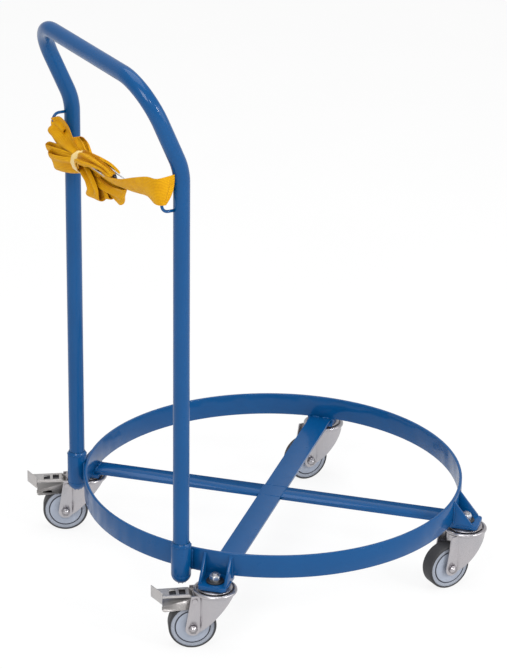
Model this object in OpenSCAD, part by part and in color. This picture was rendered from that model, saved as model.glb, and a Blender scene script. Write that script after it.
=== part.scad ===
// Drum trolley: a steel band ring on crossed flat bars, four swivel casters on
// gusseted brackets, and a bent tube handle that plugs into two sleeves on the ring.
// A webbing strap with a cam buckle hangs bundled between two wire eyes on the handle.
// Z = 0 is the top of the cross bars, where the drum stands, on the ring's axis.
// X points away from the handle, so the person who pushes stands on the -X side.

/* [Ring and cross bars] */
// Inside diameter of the ring, a little more than a 200 litre drum
ring_inner_d = 650; // [600:5:720]
// Height of the ring band
ring_h = 40; // [30:1:50]
// Thickness of the ring band
ring_t = 5; // [4:0.5:8]
// Width of each flat cross bar
bar_w = 40; // [36:1:48]
// Thickness of each flat cross bar
bar_t = 6; // [5:0.5:8]

/* [Caster brackets] */
// Thickness of a bracket's base plate
base_t = 6; // [4:0.5:8]
// Thickness of a bracket's side cheeks
cheek_t = 4; // [3:0.5:5]
// How far the base plate reaches in under the cross bar
base_lap = 9; // [6:1:20]
// Length of the base plate beyond the wide washer
base_end = 10; // [7:1:14]
// Radius of the base plate's outer corners
base_corner_r = 8; // [4:1:12]
// How far the cheek starts below the ring's top edge
cheek_drop = 3; // [1:1:10]
// Height of a cheek where it runs out over the base plate
cheek_tip_h = 2; // [1:0.5:5]

/* [Caster bolts] */
// Diameter of the bolt that holds each caster
king_d = 10; // [8:1:12]
// Width across the flats of its nut and head
king_af = 17; // [15:1:19]
// Height of the nut
king_nut_h = 10; // [8:0.5:11]
// Diameter of the wide dark washer under the nut
washer_d = 30; // [26:1:34]
// Thickness of that washer
washer_t = 2.5; // [1:0.5:3]
// Free space between that washer and the ring
washer_gap = 1; // [0.5:0.5:4]

/* [Casters] */
// Wheel diameter
wheel_d = 80; // [76:1:84]
// Width of the tyre
tyre_w = 28; // [25:1:30]
// Height of the caster above the top of its tyre
head_room = 30; // [29:1:34]
// Offset of the axle behind the swivel axis
trail = 38; // [36:1:40]
// Outside diameter of the swivel head's rolled rim
rim_d = 74; // [70:1:78]
// Thickness of the rolled rim's bead
bead_d = 7; // [5:0.5:8]
// Thickness of the fork's sheet
fork_t = 2.5; // [2:0.25:3]
// Free space between the tyre's side and each fork leg
leg_gap = 4.5; // [4:0.25:6]
// Radius of a fork leg's end round the axle
leg_end_r = 12.5; // [11:0.5:15]
// Diameter of the bearing balls in the swivel head
ball_d = 5; // [4.5:0.25:5.5]
// Diameter of the wheel bolt
axle_d = 8; // [7:0.5:9]
// Width across the flats of the wheel bolt's head and nut
axle_af = 13; // [12:0.5:15]

/* [Wheels] */
// Depth of the tyre outside the wheel's rim
tyre_depth = 5.5; // [4.5:0.25:7]
// Radius of the tyre's shoulders
shoulder_r = 4; // [2:0.25:5]
// Width of the grey rim band that shows beside the tyre
band_w = 4.5; // [3.5:0.25:6]
// Width of the groove between that band and the thread guard
groove_w = 1.2; // [0.8:0.1:2]
// Thickness of the bush that the wheel turns on
bush_wall = 2; // [1.5:0.25:3]

/* [Brake pedals] */
// Distance from the pedal's pivot to the end of its lever
lever_l = 54; // [48:1:58]
// Thickness of the pedal's sheet
pedal_t = 1.8; // [1.5:0.1:2.2]
// Depth of the lever's side walls at its end
lever_depth = 9.5; // [8:0.5:11]
// Slope of the lever, in degrees
lever_slope = 15; // [10:1:18]
// Width of the release tab
tab_w = 30; // [24:1:32]
// Height of the release tab
tab_h = 21; // [15:1:22]
// How much further the tab's far corner stands out than its near one
tab_skew = 16; // [0:1:18]
// Diameter of the pedal's pivot pin
pin_d = 6; // [5:0.5:7]
// Travel of the pedal until its shoe meets the tyre, in degrees
pedal_travel = 12; // [8:1:14]
// Free space left between the shoe and the tyre at the end of that travel
shoe_gap = 0.4; // [0.3:0.1:1]

/* [Headings of the casters] */
// Direction in which the front caster's wheel trails, in degrees
heading_front = 157; // [0:1:359]
// The same for the left caster
heading_left = 155; // [0:1:359]
// The same for the right caster
heading_right = 181; // [0:1:359]
// The same for the back caster
heading_back = 181; // [0:1:359]

/* [Handle] */
// Outside diameter of the handle tube
tube_d = 26.9; // [25:0.1:30]
// Wall of the handle tube
tube_wall = 2.3; // [1.5:0.1:3]
// Angle of each upright from the back of the ring, in degrees
upright_angle = 35; // [30:1:36]
// Height of the bend in the uprights
bend_z = 703; // [680:1:800]
// Lean of the handle above that bend, in degrees
lean = 24; // [10:1:35]
// Length of the leaning part up to the grip
lean_l = 160; // [150:1:220]
// Centre line radius of the bend in the uprights
bend_r = 100; // [60:1:150]
// Centre line radius of the corners at the grip
corner_r = 72; // [50:1:90]
// Wall of the sleeves
sleeve_wall = 3.25; // [2.5:0.25:4]
// Height of the sleeves' tops
sleeve_top = 56; // [50:1:80]
// Height of the sleeves' chamfered collars
collar_h = 5; // [3:0.5:8]
// Height of the sleeves' lower ends, where their round caps begin
sleeve_bottom = -2; // [-5:0.5:-1]
// Radial running clearance of the handle in its sleeves, and of every pivot
run_fit = 0.08; // [0.05:0.01:0.1]

/* [Strap] */
// Width of the webbing
webbing_w = 50; // [46:1:52]
// Thickness of the webbing where it lies single
webbing_t = 2; // [1.5:0.1:3]
// Diameter of the wire of the strap eyes
eye_wire_d = 5; // [4:0.5:6]
// How far below the handle's bend the middle of the eyes is
eye_drop = 42; // [33:1:63]
// Inside height of the eyes
eye_h = 40; // [34:1:46]
// Inside depth of the eyes
eye_depth = 19; // [16:1:24]
// Length of the buckle's frame
buckle_l = 72; // [66:1:80]
// Thickness of the buckle's sheet
buckle_t = 2; // [1.5:0.25:2.5]

/* [Hidden] */
$fn = 96;
round_fn = 720;

// Colours, as the photograph shows them
blue = [0.13, 0.34, 0.57];
zinc = [0.72, 0.71, 0.70];
dark = [0.10, 0.11, 0.14];
grey = [0.62, 0.64, 0.69];
pale = [0.66, 0.69, 0.75];
rubber = [0.22, 0.22, 0.24];
yellow = [0.93, 0.68, 0.10];

// Names and places of the four casters round the ring
SIDES = ["front", "left", "right", "back"];
SEATS = [225, 135, 315, 45];
HEADINGS = [heading_front, heading_left, heading_right, heading_back];
BRAKED = [0, 1];

// Ring and bars
ring_ri = ring_inner_d / 2;
ring_ro = ring_ri + ring_t;
bar_end_x = sqrt(pow(ring_ri, 2) - pow(bar_w / 2, 2));
base_z = -bar_t - base_t;

// Brackets and caster bolts
swivel_r = ring_ro + washer_gap + washer_d / 2;
base_in_x = bar_end_x - base_lap;
base_out_x = swivel_r + washer_d / 2 + base_end;
bracket_w = bar_w + 2 * cheek_t;
hole_clear = 0.25;
nut_base_z = -bar_t + washer_t;
king_end = 3;
king_head_h = 6.5;

// Heights in the swivel head, downward from the bracket
cap_h = 3.5;
cap_edge_z = base_z - cap_h;
race_t = 1.5;
race_under_z = cap_edge_z - race_t;
dish_top_z = race_under_z - ball_d;
dish_under_z = dish_top_z - fork_t;
low_race_z = dish_under_z - ball_d;
low_race_t = 2.5;
rim_r = rim_d / 2;
head_gap = 1;
cap_r = rim_r - bead_d - head_gap;
cap_top_r = 16;
hub_wall = 4;
hub_r = king_d / 2 + hub_wall;
ball_slack = 0.05;
ball_r_high = 22;
ball_r_low = 14;
low_race_r = 18;
bead_r = bead_d / 2;
skirt_inset = 3;
skirt_r = rim_r - skirt_inset;
nose_inset = 5;
nose_x = skirt_r - nose_inset;

// Wheel and fork
wheel_r = wheel_d / 2;
axle_z = base_z - head_room - wheel_r;
leg_in = tyre_w / 2 + leg_gap;
leg_out = leg_in + fork_t;
rim_seat_r = wheel_r - tyre_depth;
flange_h = 2;
flange_r = rim_seat_r + flange_h;
rim_inset = 1.5;
rim_half = tyre_w / 2 - rim_inset;
groove_out_r = flange_r - band_w;
guard_r = groove_out_r - groove_w;
guard_depth = 2.5;
guard_seat = rim_half - guard_depth;
guard_t = 3.2;
guard_rim_t = 2;
guard_chamfer = 1.2;
guard_bore_gap = 1.5;
bush_r = axle_d / 2 + bush_wall;
wheel_hub_wall = 5;
wheel_hub_r = bush_r + wheel_hub_wall;
web_half = 3.5;
lap = 1;
axle_head_h = 5.5;

// Brake pedal, measured from its pivot
pivot_back = 3;
pivot_x = trail - pivot_back;
pivot_drop = 6.5;
pivot_z = dish_under_z - pivot_drop;
wall_gap = 1.6;
wall_out = leg_in - wall_gap;
rail_gap = 0.6;
rail_out = wall_out - pedal_t - rail_gap;
pin_head_r = 1.5 * pin_d / 2;
pin_head_h = 2;
boss_wall = 2.6;
boss_r = pin_d / 2 + boss_wall;
plate_lift = 7;
tab_rise = 8;
lever_start = 4;
plate_start = 9;
plate_slope = 2;
rail_h = 3;
window_side = 5;
window_l = 11;
WINDOWS = [14, 30];
lever_end_r = lever_depth / 2;
lever_foot = lever_start - lever_l * tan(lever_slope) - lever_depth;
function lever_line(x) = [x, lever_start - x * tan(lever_slope)];

// Handle
tube_r = tube_d / 2;
sleeve_bore_r = tube_r + run_fit;
sleeve_r = sleeve_bore_r + sleeve_wall;
mouth_t = 0.6;
weld_gap = 0.1;
weld_r = 2.5;
weld_end = 2;
touch = 0.01;
upright_r = ring_ro + weld_gap + sleeve_r;
upright_x = -upright_r * cos(upright_angle);
upright_y = upright_r * sin(upright_angle);
foot_z = sleeve_bottom + 0.2;
bend_cut = bend_r * tan(lean / 2);
joint_l = 0.5;
joint_lift = 0.02;

// Strap
eye_z = bend_z - eye_drop;
eye_out_x = upright_x - tube_r - eye_depth - eye_wire_d / 2;
eye_corner_r = 11;
loop_gap = 0.6;
loop_l = 12;
loop_h = eye_h + eye_wire_d - 2 * eye_corner_r - 1;
lead_h = eye_h - 4;
loop_r = eye_wire_d / 2 + loop_gap + webbing_t;
soft_gap = 0.3;
loop_end_y = upright_y - loop_l - loop_r - soft_gap;
bundle_x = eye_out_x;
tie_y = 72;
tie_drop = 28;
tie_z = eye_z - tie_drop;
tie_w = 12;
tie_h = 22;
tie_t = 22;
neck_r_above = 10;
neck_r_below = 6;
drop_r = 12;

// Round ends of the folded lobes: place along Y and Z, radius and thickness.
// Two lie above the tie and three hang below it.
LOBES_ABOVE = [[196, tie_z - 20, 20, 22], [112, tie_z + 27, 13, 14]];
LOBES_BELOW = [[42, tie_z - 39, 14, 14], [8, tie_z - 36, 8, 10], [-54, tie_z - 20, 11, 12]];

// Buckle, lying askew between the tie and the near eye
buckle_out = 4;
buckle_x = bundle_x - buckle_out;
buckle_far_y = 40;
buckle_drop = 22;
buckle_z = eye_z - buckle_drop;
buckle_roll = 132;
buckle_w = webbing_w + 2 + 2 * buckle_t;
frame_gap = 0.2;
web_out = 1.5;
cam_r = 7;
cam_pin_r = 2.5;
cam_x = buckle_l - 18;
cam_lift = 0.5;
cam_y = webbing_t / 2 + cam_r + cam_lift;
cheek_rise = cam_y + cam_r - 2;

// Moves its children to the caster with number k, at the swivel axis
module at_seat(k) {
    rotate(SEATS[k]) translate([swivel_r, 0, 0]) children();
}

// Moves its children to that caster's axis, turned to its heading
module at_caster(k) {
    translate([swivel_r * cos(SEATS[k]), swivel_r * sin(SEATS[k]), 0])
        rotate(HEADINGS[k])
            children();
}

// Moves its children to the pedal's pivot, with X along the lever and Y upward
module at_pivot(k) {
    at_caster(k) translate([pivot_x, 0, pivot_z]) rotate([90, 0, 0]) children();
}

// Lays its children along the wheel's axle
module at_axle() {
    translate([trail, 0, axle_z]) rotate([90, 0, 0]) children();
}

// A hexagon bar of width across flats af, standing on the origin
module hexagon(af, h) {
    cylinder(r = af / sqrt(3), h = h, $fn = 6);
}

// A hollow round bar
module pipe(r_out, r_in, h) {
    difference() {
        cylinder(r = r_out, h = h);
        translate([0, 0, -1]) cylinder(r = r_in, h = h + 2);
    }
}

module ring() {
    color(blue) pipe(ring_ro, ring_ri, ring_h, $fn = round_fn);
}

module bar_long() {
    color(blue) rotate(45) translate([-bar_end_x, -bar_w / 2, -bar_t])
        cube([2 * bar_end_x, bar_w, bar_t]);
}

module bar_halves() {
    color(blue) for (side = [135, 315]) rotate(side)
        translate([bar_w / 2, -bar_w / 2, -bar_t])
            cube([bar_end_x - bar_w / 2, bar_w, bar_t]);
}

// Base plate with two rounded outer corners
module base_plate() {
    difference() {
        translate([base_in_x, -bracket_w / 2, base_z])
            cube([base_out_x - base_in_x, bracket_w, base_t]);
        for (s = [-1, 1])
            translate([base_out_x - base_corner_r, s * (bracket_w / 2 - base_corner_r), base_z - 1])
                difference() {
                    translate([0, s < 0 ? -base_corner_r - 1 : 0, 0])
                        cube([base_corner_r + 1, base_corner_r + 1, base_t + 2]);
                    translate([0, 0, -1]) cylinder(r = base_corner_r, h = base_t + 4);
                }
    }
}

// Triangular cheek between the ring's outer face and the base plate's end
module cheek(s) {
    tip_x = base_out_x - base_corner_r;
    in_x = ring_ri - 5;
    translate([0, s * (bracket_w / 2 - cheek_t / 2) + cheek_t / 2, 0]) rotate([90, 0, 0])
        linear_extrude(height = cheek_t)
            polygon([
                [in_x, base_z + base_t / 2], [tip_x, base_z + base_t / 2],
                [tip_x, -bar_t + cheek_tip_h],
                [ring_ro, ring_h - cheek_drop], [in_x, ring_h - cheek_drop]
            ]);
}

module bracket(k) {
    color(blue) rotate(SEATS[k]) difference() {
        union() {
            base_plate();
            difference() {
                for (s = [-1, 1]) cheek(s);
                translate([0, 0, -bar_t]) cylinder(r = ring_ro, h = ring_h + bar_t + 1, $fn = round_fn);
            }
            translate([bar_end_x, -bracket_w / 2, -bar_t])
                cube([ring_ro - bar_end_x, bracket_w, bar_t]);
        }
        translate([swivel_r, 0, base_z - 1]) cylinder(r = king_d / 2 + hole_clear, h = base_t + 2);
    }
}

module sleeve(s) {
    color(blue) translate([upright_x, s * upright_y, 0]) rotate_extrude()
        polygon([
            [sleeve_bore_r, sleeve_bottom], [sleeve_r, sleeve_bottom],
            [sleeve_r, sleeve_top - collar_h], [sleeve_bore_r + mouth_t, sleeve_top],
            [sleeve_bore_r, sleeve_top]
        ]);
}

// Round lower ends of the sleeves
module sleeve_caps() {
    color(blue) for (s = [-1, 1]) translate([upright_x, s * upright_y, sleeve_bottom])
        rotate_extrude() intersection() {
            circle(r = sleeve_r);
            translate([0, -sleeve_r]) square(sleeve_r);
        }
}

// Weld beads down both sides of each sleeve: rods that lie against it and the ring
module sleeve_welds() {
    to_ring = ring_ro + weld_r + touch;
    to_sleeve = sleeve_r + weld_r + touch;
    x = (pow(upright_r, 2) + pow(to_ring, 2) - pow(to_sleeve, 2)) / (2 * upright_r);
    y = sqrt(pow(to_ring, 2) - pow(x, 2));
    color(blue) for (s = [-1, 1]) rotate(180 - s * upright_angle)
        for (t = [-1, 1]) translate([x, t * y, weld_end])
            cylinder(r = weld_r, h = ring_h - 2 * weld_end);
}

module king_bolts() {
    head_z = low_race_z - low_race_t - king_head_h;
    color(zinc) for (k = [0:3]) at_seat(k) {
        translate([0, 0, head_z]) hexagon(king_af, king_head_h);
        translate([0, 0, head_z + king_head_h])
            cylinder(r = king_d / 2, h = nut_base_z + king_nut_h + king_end - head_z - king_head_h);
    }
}

module king_nuts() {
    color(zinc) for (k = [0:3]) at_seat(k) translate([0, 0, nut_base_z]) difference() {
        hexagon(king_af, king_nut_h);
        translate([0, 0, -1]) cylinder(r = king_d / 2, h = king_nut_h + 2);
    }
}

module king_washers() {
    color(dark) for (k = [0:3]) at_seat(k) translate([0, 0, -bar_t])
        pipe(washer_d / 2, king_d / 2 + hole_clear, washer_t);
}

// Fixed half of a swivel head: a coned cap with its hub, and a lower race
module race(k) {
    bore = king_d / 2 + hole_clear;
    color(zinc) at_caster(k) rotate_extrude() {
        polygon([
            [bore, base_z], [cap_top_r, base_z], [cap_r, cap_edge_z], [cap_r, race_under_z],
            [hub_r, race_under_z], [hub_r, low_race_z], [bore, low_race_z]
        ]);
        translate([bore, low_race_z - low_race_t]) square([low_race_r - bore, low_race_t]);
    }
}

// Turning half of a swivel head: a dish with a rolled rim
module dish() {
    rotate_extrude() {
        translate([hub_r + head_gap, dish_under_z])
            square([skirt_r - hub_r - head_gap, fork_t]);
        translate([skirt_r - fork_t, dish_under_z])
            square([fork_t, race_under_z - dish_under_z - bead_r]);
        translate([rim_r - bead_r, race_under_z - bead_r]) circle(r = bead_r);
    }
}

// The fork's sheet seen from the side: rear edge, round leg end, slanting front edge
module fork_side() {
    rotate([90, 0, 0]) linear_extrude(height = 2 * rim_r, center = true) {
        polygon([
            [-skirt_r - 1, dish_top_z], [pivot_x + 6, dish_top_z],
            [trail + leg_end_r, axle_z], [trail, axle_z],
            [trail - leg_end_r * cos(45), axle_z - leg_end_r * sin(45)],
            [-nose_x, dish_under_z], [-skirt_r - 1, dish_under_z]
        ]);
        translate([trail, axle_z]) circle(r = leg_end_r);
    }
}

// The fork's sheet seen from above: a round skirt that runs out into two flat legs
module fork_plan() {
    low = axle_z - leg_end_r - 1;
    back_x = sqrt(pow(skirt_r, 2) - pow(leg_out, 2));
    translate([0, 0, low]) {
        difference() {
            cylinder(r = skirt_r, h = dish_top_z - low);
            translate([0, 0, -1]) cylinder(r = skirt_r - fork_t, h = dish_top_z - low + 2);
            translate([back_x, -leg_out, -1])
                cube([skirt_r, 2 * leg_out, dish_top_z - low + 2]);
        }
        for (s = [-1, 1])
            translate([back_x - 3, s > 0 ? leg_in : -leg_out, 0])
                cube([trail + leg_end_r - back_x + 4, fork_t, dish_top_z - low]);
    }
}

module fork(k) {
    color(zinc) at_caster(k) difference() {
        union() {
            dish();
            intersection() {
                fork_plan();
                fork_side();
            }
        }
        at_axle() translate([0, 0, -leg_out - 1])
            cylinder(r = axle_d / 2 + hole_clear / 2, h = 2 * leg_out + 2);
        if (k < len(BRAKED))
            translate([pivot_x, 0, pivot_z]) rotate([90, 0, 0])
                cylinder(r = pin_d / 2, h = 2 * leg_out + 2, center = true);
    }
}

// Two rows of bearing balls
module balls(k) {
    high = 12;
    low = 8;
    r = ball_d / 2 - ball_slack;
    color(zinc) at_caster(k) {
        for (i = [0:high - 1]) rotate(i * 360 / high)
            translate([ball_r_high, 0, race_under_z - ball_d / 2]) sphere(r = r, $fn = 24);
        for (i = [0:low - 1]) rotate(i * 360 / low)
            translate([ball_r_low, 0, dish_under_z - ball_d / 2]) sphere(r = r, $fn = 24);
    }
}

// Wheel bolt with its nut, and the bush clamped between the fork legs
module axle(k) {
    color(zinc) at_caster(k) at_axle() {
        translate([0, 0, leg_out]) hexagon(axle_af, axle_head_h);
        translate([0, 0, -leg_out - axle_head_h - 1])
            cylinder(r = axle_d / 2, h = 2 * leg_out + axle_head_h + 1);
        translate([0, 0, -leg_out - axle_head_h]) difference() {
            hexagon(axle_af, axle_head_h);
            translate([0, 0, -1]) cylinder(r = axle_d / 2, h = axle_head_h + 2);
        }
        translate([0, 0, -leg_in]) pipe(bush_r, axle_d / 2 + 0.05, 2 * leg_in);
    }
}

// Wheel body: hub, web and rim, with a seat for the tyre between two flanges
module core(k) {
    bore = bush_r + run_fit;
    color(grey) at_caster(k) at_axle() rotate_extrude() {
        translate([bore, -rim_half]) square([wheel_hub_r - bore, 2 * rim_half]);
        translate([wheel_hub_r - lap, -web_half])
            square([guard_r - wheel_hub_r, 2 * web_half]);
        translate([guard_r - 2 * lap, -guard_seat])
            square([rim_seat_r - guard_r + 2 * lap, 2 * guard_seat]);
        for (s = [-1, 1]) translate([groove_out_r, s > 0 ? guard_seat - lap : -rim_half])
            square([flange_r - groove_out_r, rim_half - guard_seat + lap]);
    }
}

// Tyre with rounded shoulders, seated between the flanges
module tyre(k) {
    half = tyre_w / 2;
    seat = guard_seat - lap;
    color(rubber) at_caster(k) at_axle() rotate_extrude() difference() {
        union() {
            translate([rim_seat_r, -half + shoulder_r])
                square([tyre_depth, tyre_w - 2 * shoulder_r]);
            translate([rim_seat_r, -half]) square([tyre_depth - shoulder_r, tyre_w]);
            for (s = [-1, 1]) translate([wheel_r - shoulder_r, s * (half - shoulder_r)])
                circle(r = shoulder_r, $fn = 64);
        }
        for (s = [-1, 1]) translate([rim_seat_r - shoulder_r, s > 0 ? seat : -half - 1])
            square([flange_r - rim_seat_r + shoulder_r, half + 1 - seat]);
        translate([0, -half]) square([rim_seat_r, tyre_w]);
    }
}

// Thread guards: a slightly domed disc in each side of the wheel
module guards(k) {
    bore = bush_r + guard_bore_gap;
    seam_r = guard_r - 3 * lap;
    color(pale) at_caster(k) at_axle() for (s = [0, 1]) mirror([0, 0, s])
        rotate_extrude() polygon([
            [wheel_hub_r + lap, guard_seat + guard_t - guard_rim_t],
            [seam_r, guard_seat + guard_t - guard_rim_t], [seam_r, guard_seat], [guard_r, guard_seat],
            [guard_r, guard_seat + guard_t - guard_chamfer],
            [guard_r - 2 * guard_chamfer, guard_seat + guard_t],
            [bore, guard_seat + guard_t], [bore, rim_half], [wheel_hub_r + lap, rim_half]
        ]);
}

// Side of the lever from its boss to its rounded end, measured from the pivot
module lever_wall() {
    circle(r = boss_r);
    polygon([
        [0, boss_r], lever_line(boss_r), lever_line(lever_l),
        [lever_l, lever_foot + lever_end_r], [lever_l - lever_end_r, lever_foot + lever_end_r],
        [lever_l - lever_end_r, lever_foot], [boss_r + 5, lever_foot + 3], [-1, -boss_r + 1]
    ]);
    translate([lever_l - lever_end_r, lever_foot + lever_end_r]) circle(r = lever_end_r);
}

// Lower lever of a brake pedal: a sloping channel with a shoe above the tyre.
// The shoe is cut by the tyre's circle as the pressed lever sees it.
module lever(k) {
    shoe_in = 14;
    shoe_out = 28;
    inner = wall_out - pedal_t;
    arm = [trail - pivot_x, axle_z - pivot_z];
    pressed_x = arm[0] * cos(pedal_travel) - arm[1] * sin(pedal_travel);
    pressed_z = arm[0] * sin(pedal_travel) + arm[1] * cos(pedal_travel);
    color(zinc) at_pivot(k) difference() {
        union() {
            for (s = [0, 1]) mirror([0, 0, s]) translate([0, 0, inner])
                linear_extrude(height = pedal_t) lever_wall();
            linear_extrude(height = 2 * wall_out - 1, center = true) polygon([
                lever_line(boss_r + 1), lever_line(lever_l - 1),
                lever_line(lever_l - 1) - [0, pedal_t], lever_line(boss_r + 1) - [0, pedal_t]
            ]);
            linear_extrude(height = 2 * inner - 4, center = true) polygon([
                lever_line(shoe_in) - [0, pedal_t / 2], lever_line(shoe_out) - [0, pedal_t / 2],
                [shoe_out, -wheel_r], [shoe_in, -wheel_r]
            ]);
        }
        cylinder(r = pin_d / 2 + run_fit, h = 2 * wall_out + 2, center = true);
        translate([pressed_x, pressed_z, 0])
            cylinder(r = wheel_r + shoe_gap, h = 2 * inner - 1, center = true, $fn = 128);
    }
}

// Upper lever of a brake pedal: two rails, a plate with two windows, and the upturned
// tab that the toe lifts to let the brake go. The tab stands askew, as on the real pedal.
module release(k) {
    near_x = lever_l - 1;
    far_x = near_x + tab_skew;
    turn = atan2(-tab_w, tab_skew);
    color(zinc) at_pivot(k) difference() {
        union() {
            for (s = [0, 1]) mirror([0, 0, s]) translate([0, 0, rail_out - pedal_t])
                linear_extrude(height = pedal_t) {
                    circle(r = boss_r);
                    polygon([
                        [0, boss_r], [rail_h, boss_r],
                        [plate_start, plate_lift + plate_slope], [far_x, plate_lift],
                        [far_x, plate_lift - rail_h], [plate_start + 1, plate_lift - rail_h],
                        [boss_r + 0.5, rail_h], [boss_r - 1, 0]
                    ]);
                }
            linear_extrude(height = 2 * rail_out - 1, center = true) polygon([
                [plate_start, plate_lift + plate_slope], [far_x, plate_lift],
                [far_x, plate_lift - pedal_t], [plate_start, plate_lift + plate_slope - pedal_t]
            ]);
        }
        cylinder(r = pin_d / 2 + run_fit, h = 2 * rail_out + 2, center = true);
        for (x = WINDOWS) translate([x, 0, -rail_out + window_side])
            cube([window_l, plate_lift + 4, 2 * (rail_out - window_side)]);
        rotate([-90, 0, 0]) translate([near_x + pedal_t / 4, tab_w / 2, 0]) rotate(turn)
            translate([-tab_w, 0, -tab_w]) cube([3 * tab_w, 2 * tab_w, 2 * tab_w]);
    }
    color(zinc) at_pivot(k) rotate([-90, 0, 0])
        translate([near_x, tab_w / 2, plate_lift + tab_rise - tab_h]) rotate(turn)
            cube([norm([tab_w, tab_skew]), pedal_t, tab_h]);
}

module pedal_pin(k) {
    color(zinc) at_pivot(k) {
        cylinder(r = pin_d / 2, h = 2 * leg_out, center = true);
        for (s = [0, 1]) mirror([0, 0, s])
            translate([0, 0, leg_out]) cylinder(r = pin_head_r, h = pin_head_h);
    }
}

// The handle's run as a round bar of radius r: both feet, bends, leaning parts,
// corners and the grip between them. Where a bend ends it is a hair wider.
module bow_run(r) {
    for (s = [0, 1]) mirror([0, s, 0]) {
        translate([upright_x, upright_y, foot_z])
            cylinder(r = r, h = bend_z - bend_cut - foot_z);
        translate([upright_x - bend_r, upright_y, bend_z - bend_cut]) rotate([90, 0, 0])
            rotate_extrude(angle = lean) translate([bend_r, 0]) circle(r = r);
        translate([upright_x, upright_y, bend_z]) rotate([0, -lean, 0]) {
            translate([0, 0, bend_cut]) cylinder(r = r, h = lean_l - corner_r - bend_cut);
            translate([0, 0, bend_cut - joint_l]) cylinder(r = r + joint_lift, h = 2 * joint_l);
            translate([0, -corner_r, lean_l - corner_r]) rotate([90, 0, 90])
                rotate_extrude(angle = 90) translate([corner_r, 0]) circle(r = r);
        }
    }
    translate([upright_x, 0, bend_z]) rotate([0, -lean, 0]) translate([0, 0, lean_l])
        rotate([90, 0, 0]) {
            cylinder(r = r, h = 2 * (upright_y - corner_r), center = true);
            for (s = [-1, 1]) translate([0, 0, s * (upright_y - corner_r) - joint_l])
                cylinder(r = r + joint_lift, h = 2 * joint_l);
        }
}

module bow() {
    color(blue) difference() {
        bow_run(tube_r);
        bow_run(tube_r - tube_wall);
        for (s = [-1, 1]) translate([upright_x, s * upright_y, foot_z - 1])
            cylinder(r = tube_r - tube_wall, h = 2);
    }
}

// Wire eyes for the strap, one welded to the back of each upright
module eyes() {
    r = eye_wire_d / 2;
    rise = eye_h / 2 + r;
    color(blue) difference() {
        for (s = [-1, 1]) translate([0, s * upright_y, eye_z]) {
            for (m = [0, 1]) mirror([0, 0, m]) {
                translate([eye_out_x + eye_corner_r, 0, rise]) rotate([0, 90, 0])
                    cylinder(r = r, h = upright_x - tube_r + 3 - eye_out_x - eye_corner_r);
                translate([eye_out_x + eye_corner_r, 0, rise - eye_corner_r])
                    rotate([90, 0, 0]) rotate([0, 0, 90]) rotate_extrude(angle = 90)
                        translate([eye_corner_r, 0]) circle(r = r);
            }
            translate([eye_out_x, 0, -rise + eye_corner_r])
                cylinder(r = r, h = 2 * (rise - eye_corner_r));
        }
        bow_run(tube_r);
    }
}

// Webbing sewn round the outer wire of each eye, bunched to fit in the eye
module strap_loops() {
    r = eye_wire_d / 2 + loop_gap;
    color(yellow) for (m = [0, 1]) mirror([0, m, 0])
        translate([eye_out_x, upright_y, eye_z - loop_h / 2])
            linear_extrude(height = loop_h) difference() {
                union() {
                    circle(r = r + webbing_t);
                    translate([0, -loop_l]) circle(r = r + webbing_t);
                    translate([-r - webbing_t, -loop_l]) square([2 * (r + webbing_t), loop_l]);
                }
                circle(r = r);
                translate([0, -loop_l]) circle(r = r);
                translate([-r, -loop_l]) square([2 * r, loop_l]);
            }
}

// Moves its children to the buckle's end beside the near eye, with X along the webbing,
// Y out of the buckle's face and Z across its width
module at_buckle() {
    translate([buckle_x, buckle_far_y - buckle_l, buckle_z]) rotate([0, 0, 90])
        rotate([buckle_roll, 0, 0])
            children();
}

// Flat webbing in the buckle's frame from x to x + l
module web_in_buckle(x, l) {
    at_buckle() translate([x, -webbing_t / 2, -webbing_w / 2]) cube([l, webbing_t, webbing_w]);
}

// Webbing from the near eye, twisting towards the buckle
module strap_lead() {
    color(yellow) hull() {
        translate([bundle_x - webbing_t / 2, -loop_end_y, eye_z - lead_h / 2])
            cube([webbing_t, 1, lead_h]);
        web_in_buckle(-web_out - soft_gap - 1, 1);
    }
}

// Webbing that lies in the buckle's frame, a little longer than it
module strap_web() {
    color(yellow) web_in_buckle(-web_out, buckle_l + 2 * web_out);
}

// Webbing from the buckle to the tie, where it is gathered
module strap_tail() {
    color(yellow) hull() {
        web_in_buckle(buckle_l + web_out + soft_gap, 1);
        translate([bundle_x - tie_t / 2, tie_y - tie_w / 2 - 1, tie_z - tie_h / 4])
            cube([tie_t / 2, 1 - soft_gap, tie_h / 2]);
    }
}

// A flat lobe of folded webbing, with round ends, in the plane of the eyes
module lobe(from, to, r_from, r_to, thick) {
    translate([bundle_x - thick / 2, 0, 0]) rotate([90, 0, 90]) linear_extrude(height = thick)
        hull() {
            translate(from) circle(r = r_from, $fn = 32);
            translate(to) circle(r = r_to, $fn = 32);
        }
}

// Folded webbing: from the far eye down to the tie, a long and a short lobe above it,
// and three that hang below it
module strap_bundle() {
    neck_above = [tie_y + tie_w / 2 + soft_gap + neck_r_above, tie_z];
    neck_below = [tie_y, tie_z - tie_h / 2 - 2 * soft_gap - neck_r_below];
    drop = neck_above + [drop_r + 8, drop_r + 8];
    color(yellow) {
        hull() {
            translate([bundle_x - webbing_t, loop_end_y - 1, eye_z - lead_h / 2])
                cube([2 * webbing_t, 1, lead_h]);
            lobe(drop, drop, drop_r, drop_r, 2 * webbing_t);
        }
        for (l = LOBES_ABOVE) lobe(neck_above, [l[0], l[1]], neck_r_above, l[2], l[3]);
        for (l = LOBES_BELOW) lobe(neck_below, [l[0], l[1]], neck_r_below, l[2], l[3]);
    }
}

// Thin band round the neck of the bundle
module strap_tie() {
    color(yellow) translate([bundle_x - tie_t / 2, tie_y - tie_w / 2, tie_z - tie_h / 2])
        cube([tie_t, tie_w, tie_h]);
}

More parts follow.
